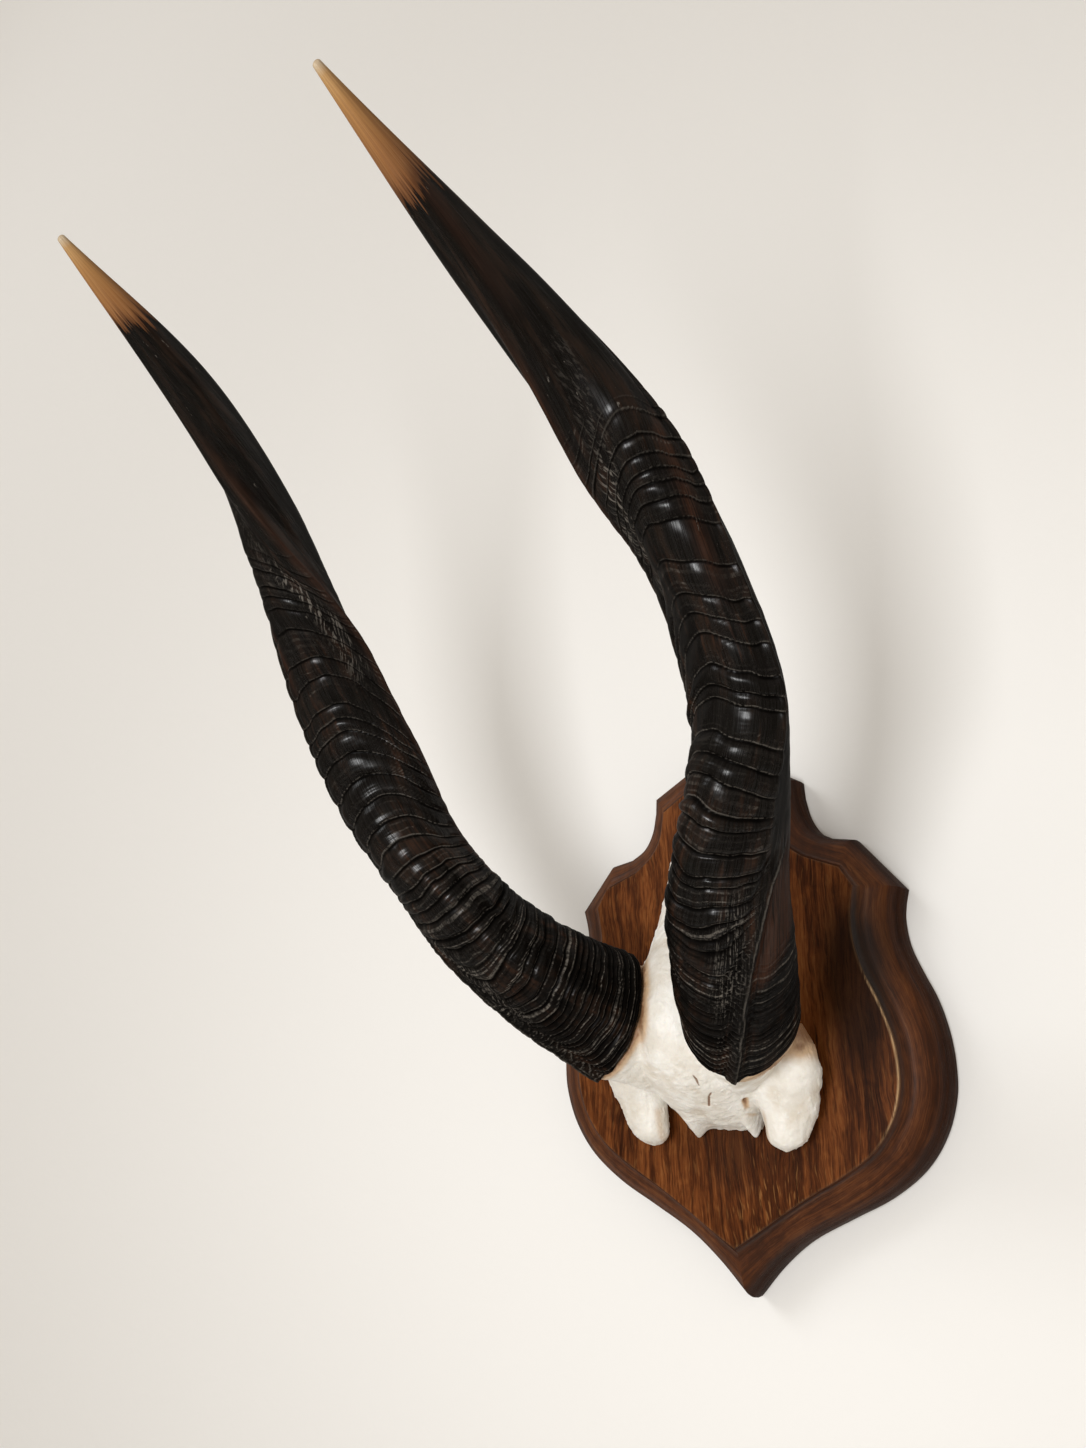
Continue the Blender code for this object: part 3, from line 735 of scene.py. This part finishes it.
# Horns
# Two sheaths of black keratin that grew over bony cores: half turned about themselves, with a keel on
# either side, ringed over the front face and smooth behind, and worn to bare amber horn at the tips.
HORN_RINGS = 925
HORN_SIDES = 102
TIP_RINGS = 8
RINGED_LENGTH = 400.0            # mm of horn that carries rings
FINE_SHARE = 0.83                # share of the rings of faces spent on that length
GROWN_RADIUS = 36                # mm, for the patterns that run round and along the horn
FRONT_KEEL = 0.0                 # places round the horn, in radians
HIDDEN_KEEL = 3.14
RINGED_FACE = 4.78
# Pairs of rows: places along the horn in mm, and what holds there.
RING_WIDTHS = ([0, 40, 90, 130, 170, 220, 300, 335, 350, 400], [4.4, 6.2, 7.5, 9.5, 11, 13, 16, 15, 8, 10])
FINE_WIDTHS = ([0, 120, 400], [2.1, 2.8, 4.0])
RING_HEIGHTS = ([0, 10, 60, 120, 200, 280, 330, 385, 415], [1.0, 2.2, 2.5, 2.8, 2.7, 2.1, 1.3, 1.3, 0])
FINE_HEIGHTS = ([0, 100, 220, 330, 380], [0.85, 0.75, 0.22, 0.05, 0.0])
RING_FULLNESS = ([0, 100, 180, 400], [2.6, 2.6, 2.8, 2.8])
KEEL_WANDER = ([0, 90, 118, 150, 166, 230], [-0.05, -0.05, 0.10, 0.30, 0.52, 0.15])
FLUTE_TURN = ([340, 352, 370, 394, 428, 446], [3.85, 3.85, 4.08, 4.24, 4.33, 4.40])

LENGTH_STEPS = 4001
share_table = np.linspace(0, 1, LENGTH_STEPS)
centres = through(HORN, share_table)[:, :3]
length_table = np.concatenate([[0], np.cumsum(np.linalg.norm(np.diff(centres, axis=0), axis=1))])
HORN_LENGTH = length_table[-1]

# How far toward the tip each growth ring runs, in mm, at every 30 degrees round the horn from the front
# keel; one row for each length.
BEND_AT = [0, 45, 88, 126, 155, 195, 250, 330, 400]
BEND = np.array([
    [0, 0, 0, 0, 0, 0, 0, 0, 0, 0, 0, 0],
    [0, 0, -1, 0, 1, 2, 1, 0, 1, 0, -5, -5],
    [0, 0, -1, 0, 1, 2, 1, 0, 0, -2, -8, -11],
    [4, 0, 0, 0, 0, 0, 0, 0, 0, 0, 1, 4],
    [4, 0, 0, 0, 0, -3, -6, -3, 2, 3, 2, 4],
    [0, 0, 0, 0, 0, -12, -24, -12, 4, 10, 8, 2],
    [0, 0, 0, 0, 0, -20, -40, -24, 0, 12, 9, 2],
    [-4, 0, 0, 0, 0, -12, -28, -16, 2, 12, 9, 0],
    [-6, 0, 0, 0, 0, -6, -14, -10, 2, 11, 8, -2]], float)


def turned_from(p, centre):
    """Signed angle from a place round the horn."""
    return np.arctan2(np.sin(p - centre), np.cos(p - centre))


def band(p, centre, half_width, power=2):
    """A line along the horn at one place round it, with soft sides."""
    return hump(turned_from(p, centre), half_width, power)


def reach_of(s, start, full, fading, end):
    """1 along a part of the horn, with soft ends."""
    return soft_step(s, start, full) * (1 - soft_step(s, fading, end))


def ring_bend(s, p):
    """Bend of the rings, smooth round the horn and along it."""
    columns = BEND.shape[1]
    column = (p % math.tau) / math.tau * columns
    i = np.floor(column).astype(int)
    bends = np.stack([np.interp(s, BEND_AT, BEND[:, c]) for c in range(columns)], 1)
    near = [bends[np.arange(len(s)), (i + step) % columns] for step in (-1, 0, 1, 2)]
    return blend_four(*near, column - i)


def ring_marks(seed, widths, spread):
    """Places of the grooves along the horn in mm, spaced as the widths say, give or take a share."""
    draw = np.random.RandomState(seed)
    marks = [-30.0]
    while marks[-1] < RINGED_LENGTH + 60:
        width = float(np.interp(max(marks[-1], 0.0), *widths))
        marks.append(marks[-1] + width * draw.uniform(1 - spread, 1 + spread))
    return np.array(marks), draw.uniform(0.5, 1.25, len(marks))


def swell(t, marks, heights, fullness):
    """Height of the rounded rings between grooves, distance from the nearest groove, and its side."""
    i = np.clip(np.searchsorted(marks, t) - 1, 0, len(marks) - 2)
    width = marks[i + 1] - marks[i]
    q = np.clip((t - marks[i]) / width, 0, 1)
    height = heights[i] * (1 - np.abs(2 * q - 1) ** fullness)
    return height, np.minimum(q, 1 - q) * width, np.sin(q * math.tau)


def horn_relief(s, p, seed):
    """Rings, keels, flutes and lumps in mm over the smooth horn, with what the material needs to know."""
    px, py = np.cos(p), np.sin(p)
    face = 1 - soft_step(np.abs(turned_from(p, RINGED_FACE)), 1.20, 1.80)
    lateral_end = 55 + 35 * np.cos(turned_from(p, 1.8))
    lateral = 0.38 * (1 - soft_step(s, lateral_end, 110)) * (1 - face)
    # The front keel wanders onto the outer side as it rises, then back; the rings run up to it.
    from_keel = turned_from(p, np.interp(s, *KEEL_WANDER))
    near_base = 1 - soft_step(s, 150, 210)
    cusp = np.where(from_keel < 0, 27 * np.exp(from_keel / 0.20), 10 + 17 * np.exp(-from_keel / 0.08))
    cusp = cusp * near_base - 10 * soft_step(from_keel, 0.0, 0.10) * (from_keel > 0) * near_base
    stray = wander(seed, s / 26, px * 2.2, py * 2.2) * 2.0 + wander(seed + 1, s / 8, px * 5, py * 5) * 0.8
    t = s - ring_bend(s, p) - cusp + stray
    marks, heights = ring_marks(seed + 2, RING_WIDTHS, 0.45)
    rings, groove, above = swell(t, marks, heights, np.interp(s, *RING_FULLNESS))
    size = np.interp(s, *RING_HEIGHTS)
    fine_marks, fine_heights = ring_marks(seed + 3, FINE_WIDTHS, 0.5)
    small = swell(t + stray * 0.4, fine_marks, fine_heights, 2.0)[0]
    small_size = np.interp(s, *FINE_HEIGHTS)
    small_size = small_size * (0.35 + 0.65 * soft_step(wander(seed + 4, s / 18, px * 3, py * 3), -0.5, 0.5))
    corded = hump(from_keel, 0.17, 4) * (1 - soft_step(s, 150, 185))
    coat = (face + lateral) * (1 - 0.8 * corded)
    height = coat * (size * (rings - 0.6) + small_size * (small - 0.4))
    # Near the base the front keel is a rope of a few strands.
    rope = hump(from_keel, 0.13) * (1 - soft_step(s, 150, 185))
    strands = 0.5 + 0.5 * np.cos(from_keel * math.tau / 0.11 + wander(seed + 5, s / 14) * 1.8)
    beside_rope = hump(np.abs(from_keel) - 0.26, 0.08) * (1 - soft_step(s, 140, 180))
    height = height + rope * (1.8 + 1.5 * strands) - 1.2 * beside_rope
    # Further up it is a thin lip.
    lip = reach_of(s, 130, 220, 430, 500)
    height = height + lip * (1.2 * band(p, FRONT_KEEL, 0.10) - 1.0 * band(p, -0.32, 0.16))
    # The hidden keel further up: a rounded ridge between two flutes.
    flute_turn = np.interp(s, *FLUTE_TURN)
    flutes = 1.4 * band(p, HIDDEN_KEEL, 0.17) - 2.6 * band(p, flute_turn, 0.36) - 1.8 * band(p, 2.68, 0.22)
    height = height + reach_of(s, 240, 330, 440, 520) * flutes
    hollowed = 2.4 * band(p, 5.15, 0.48) - 1.8 * band(p, 4.05, 0.60)
    height = height + reach_of(s, 130, 200, 400, 460) * hollowed
    knob = 1.3 * np.exp(-((s - 402) / 13) ** 2 - (turned_from(p, 4.85) / 0.55) ** 2)
    lumps = wander(seed + 6, s / 42, px * 1.4, py * 1.4) * 0.7 * (1 - soft_step(s, 420, 560))
    pits = wander(seed + 7, s / 6, px * 6, py * 6) * 0.25 * (1 - soft_step(s, 300, 500))
    height = height + knob + lumps + pits
    # Where reddish horn shows: beside the front keel, along the hidden keel, and in one streak near the tip.
    turned = turned_from(p, FRONT_KEEL)
    beside = soft_step(from_keel, 0.06, 0.16) * (1 - soft_step(turned, 0.9, 1.35))
    beside = beside * soft_step(s + stray - 30 * np.maximum(0, turned - 0.2), 66, 82)
    beside = beside * (1 - soft_step(s, 135, 185))
    along_keel = band(p, HIDDEN_KEEL, 0.24) * reach_of(s, 120, 200, 430, 500)
    inner = band(p, 5.58, 0.14) * reach_of(s, 290, 330, 380, 400)
    to_tip = band(p, 4.0, 0.25) * soft_step(s, 440, 520)
    reddish = beside + 0.6 * along_keel + 0.6 * inner + 0.35 * to_tip
    flute = band(p, flute_turn, 0.30, 4) * reach_of(s, 290, 330, 440, 460)
    flute = flute * (1 - 0.75 * soft_step(s, 380, 400))
    hatch = band(p, 5.86, 0.24, 4) * reach_of(s, 45, 70, 130, 155)
    return height, {
        "groove": groove, "above": above, "fine": small, "ringed": coat * np.clip(size, 0, 1),
        "ringwise": np.stack([px * GROWN_RADIUS, py * GROWN_RADIUS, t], 1), "rope": rope * strands,
        "reddish": reddish, "flute": flute, "hatch": hatch}


def horn_piece(name, side, seed, bared, bare_turn):
    fine_rings = int(HORN_RINGS * FINE_SHARE)
    ring_s = np.concatenate([np.linspace(0, RINGED_LENGTH, fine_rings, endpoint=False),
                             np.linspace(RINGED_LENGTH, HORN_LENGTH, HORN_RINGS - fine_rings)])
    tip_turn = np.concatenate([np.zeros(HORN_RINGS), np.linspace(0, math.pi / 2, TIP_RINGS + 1)[1:]])
    ring_s = np.concatenate([ring_s, np.full(TIP_RINGS, HORN_LENGTH)])
    ring_u = np.interp(ring_s, length_table, share_table)

    def skin(along, around):
        s, u, tip = ring_s[along], ring_u[along], tip_turn[along]
        turn = math.tau * around / HORN_SIDES
        p = turn - 0.2 * np.sin(2 * turn - 0.6)      # faces are narrower near the keels
        height, stored = horn_relief(s, p, seed)
        fray = wander(seed + 9, np.cos(p) * 5, np.sin(p) * 5) * 1.2 * np.exp(-s / 5.0)
        fray = fray - bared * np.exp(-(turned_from(p, bare_turn) / 0.85) ** 2 - s / 9.0)
        points = horn_skin(u, p, side, np.cos(tip), fray - 1.4 * np.sin(tip), height * (tip == 0))
        stored["grown"] = np.stack([np.cos(p) * GROWN_RADIUS, np.sin(p) * GROWN_RADIUS, s], 1)
        stored["from_base"] = s
        stored["from_tip"] = HORN_LENGTH - s
        return points * MM, stored

    obj = sleeve(name, HORN_RINGS + TIP_RINGS - 1, HORN_SIDES, skin)
    shade(obj, 180)
    return obj


def keratin(name, tip_length, tip_lean):
    horn = Finish(name, IOR=1.05, Coat_IOR=1.30, Coat_Roughness=0.24)
    grown = horn.stored("grown", "Vector")
    ringwise = horn.stored("ringwise", "Vector")
    turn_x = horn.part(grown, "X") / GROWN_RADIUS
    from_base, from_tip = horn.stored("from_base"), horn.stored("from_tip")
    ringed, groove, rope = horn.stored("ringed"), horn.stored("groove"), horn.stored("rope")
    strand = horn.noise(horn.stretch(grown, (1.5, 1.5, 0.035)), 1.0, 3.0, 0.6)
    streak = horn.noise(horn.stretch(grown, (0.35, 0.35, 0.018)), 1.0, 3.0, 0.6)
    hair = horn.noise(horn.stretch(ringwise, (0.05, 0.05, 1.2)), 1.0, 4.0, 0.65)
    patch = horn.noise(horn.stretch(grown, (0.075, 0.075, 0.022)), 1.0, 4.0, 0.6)
    grit = horn.noise(horn.stretch(grown, (0.55, 0.55, 0.50)), 1.0, 4.0, 0.65)
    slant = horn.stretch(horn.stretch(grown, (1, 1, 1), (0.5, 0.35, 0.0)), (0.55, 0.55, 0.05))
    scratch = horn.noise(slant, 1.0, 3.0, 0.6)

    black = horn.mix(horn.between(patch, 0.46, 0.66), (0.0030, 0.0023, 0.0018), (0.0092, 0.0050, 0.0030))
    mottle = horn.between(patch * 0.7 + streak * 0.5, 0.64, 0.80)
    mottle = mottle * horn.between(from_base, 330, 430, 1.0, 0.25)
    colour = horn.mix(mottle * 0.45, black, (0.040, 0.0160, 0.0080))
    reddish = horn.stored("reddish")
    red = reddish * horn.between(strand * 0.6 + streak * 0.4, 0.34, 0.60)
    colour = horn.mix(red, colour, (0.044, 0.0165, 0.0080))
    colour = horn.mix(reddish * horn.between(strand, 0.54, 0.62) * 0.7, colour, (0.016, 0.0075, 0.0045))
    # Creases get painted shade; their lips and finest lines near the base are dry grey with a painted
    # highlight.
    fine = horn.stored("fine")
    low = horn.between(from_base, 90, 175, 1.0, 0.06)
    on_rings = horn.between(ringed, 0.05, 0.35)
    worn_in = horn.between(grit * 0.6 + patch * 0.4, 0.42, 0.54)
    # The lips are dry grey keratin, with a painted highlight on one side of each groove.
    lip = horn.between(groove, 0.25, 0.6) * horn.between(groove, 0.9, 1.5, 1.0, 0.0)
    lip = lip * horn.between(horn.stored("above"), 0.0, 0.25)
    lip = lip * ringed * worn_in * horn.between(from_base, 240, 340, 1.0, 0.45)
    grey_and_lit_threads = horn.between(fine, 0.78, 1.02) * on_rings * (low + horn.between(patch, 0.52, 0.60) * 0.30)
    grey_and_lit_threads = grey_and_lit_threads * horn.between(grit, 0.40, 0.54, 0.15, 1.0) * horn.between(streak, 0.40, 0.56, 0.3, 1.0)
    chafe = horn.between(scratch, 0.53, 0.58) * horn.stored("flute") * horn.between(patch, 0.36, 0.52)
    chip_spot = horn.noise(horn.stretch(grown, (0.16, 0.16, 0.10)), 1.0, 5.0, 0.7)
    chip = horn.between(chip_spot, 0.68, 0.70) * horn.between(from_base, 220, 420) * 0.6
    upright = horn.noise(horn.stretch(grown, (0.42, 0.42, 0.03)), 1.0, 1.0, 0.5)
    hatching = horn.between((upright - 0.5).size(), 0.02, 0.05, 1.0, 0.0) * horn.stored("hatch")
    hatching = hatching * horn.between(grit, 0.42, 0.55)
    rope_lines = horn.between(rope, 0.35, 0.80) * horn.between(grit, 0.36, 0.52, 0.3, 1.0) * 0.42
    grey = lip * 0.85 + grey_and_lit_threads * 0.75 + chafe * 0.7 + chip + rope_lines + hatching * 0.5
    colour = horn.mix(grey.least(0.95), colour, (0.140, 0.125, 0.107))
    # Painted shade in the grooves, and in the fine grooves near the base.
    fine_groove_painted_shade = horn.between(fine, 0.10, 0.45, 1.0, 0.0) * low * on_rings
    deep = horn.between(groove, 0.25, 1.7, 1.0, 0.0) * ringed
    deep = deep.most(fine_groove_painted_shade * 0.8)
    colour = horn.mix(deep * 0.9, colour, (0.0016, 0.0013, 0.0011))
    # The worn tip.
    flame = horn.noise(horn.stretch(grown, (0.16, 0.16, 0.020)), 1.0, 3.0, 0.6)
    edge = from_tip + (flame - 0.5) * 46 + turn_x * tip_lean
    amber = horn.ramp(from_tip / tip_length, [
        (0.0, (0.44, 0.36, 0.25)), (0.08, (0.36, 0.215, 0.090)), (0.30, (0.28, 0.142, 0.050)),
        (0.65, (0.215, 0.095, 0.032)), (1.0, (0.135, 0.052, 0.018))])
    amber = horn.mix(horn.between(flame, 0.38, 0.62) * 0.40, amber, (0.105, 0.042, 0.018))
    amber = horn.mix(horn.between(strand, 0.42, 0.65) * 0.25, amber, (0.34, 0.20, 0.09))
    tip = horn.between(edge, tip_length * 0.97, tip_length * 1.05, 1.0, 0.0)
    scorched = horn.between(edge, tip_length * 0.80, tip_length) * tip
    colour = horn.mix(tip, colour, amber)
    colour = horn.mix(scorched * 0.7, colour, (0.040, 0.014, 0.006))
    rough = horn.between(strand, 0.3, 0.7, 0.35, 0.50) + grey * 0.2
    height = strand * 0.5 + hair * ringed * (0.5 + low * 1.6) + grit * 0.3 + grey * 0.3
    polish = (1 - deep) * horn.between(from_base, 20, 150, 0.40, 1.0)
    polish = polish * horn.between(strand * 0.7 + patch * 0.3, 0.40, 0.58, 0.30, 1.0)
    horn.surface(Base_Color=colour, Roughness=rough, Coat_Weight=polish * horn.facing(0.25, 0.70) * 0.85,
                 Normal=horn.bump(height, 0.22, 0.0006))
    return horn.material


# Name, CAD node, side, seed, mm that the frayed rim is worn back and where, length and lean of the bare tip.
SHEATHS = [
    ("horn_sheath_right", "horn_right", 1, 11, 4.5, 1.05, 54.0, 6.0),
    ("horn_sheath_left", "horn_left", -1, 41, 5.5, 4.6, 49.0, -4.0)]
for name, node, side, seed, bared, bare_turn, tip_length, tip_lean in SHEATHS:
    obj = horn_piece(name, side, seed, bared, bare_turn)
    obj.data.materials.append(keratin(name + "_keratin", tip_length, tip_lean))
    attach(obj, "root")
    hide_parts(node)


# Screws and hanger
# Zinc-plated steel: two long screws that hold the bone from behind, and a keyhole plate in the back
# of the shield with its two small countersunk screws.
steel = Finish("zinc_plated_steel", Metallic=1.0)
here = steel.place()
brushed = steel.noise(steel.stretch(here, (2600, 300, 300)), 1.0, 3.0, 0.6)
blotch = steel.noise(steel.stretch(here, (240, 240, 240)), 1.0, 4.0, 0.6)
zinc = steel.ramp(steel.between(blotch, 0.3, 0.7), [(0.0, (0.34, 0.33, 0.30)), (1.0, (0.56, 0.55, 0.52))])
steel.surface(Base_Color=zinc,
              Roughness=steel.between(brushed + blotch * 0.5, 0.4, 1.0, 0.28, 0.5),
              Normal=steel.bump(brushed + blotch, 0.12, 0.0003))
for node in ("cap_screw_upper", "cap_screw_lower", "hanger_plate", "hanger_screw_top", "hanger_screw_bottom"):
    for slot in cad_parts[node].material_slots:
        slot.material = steel.material
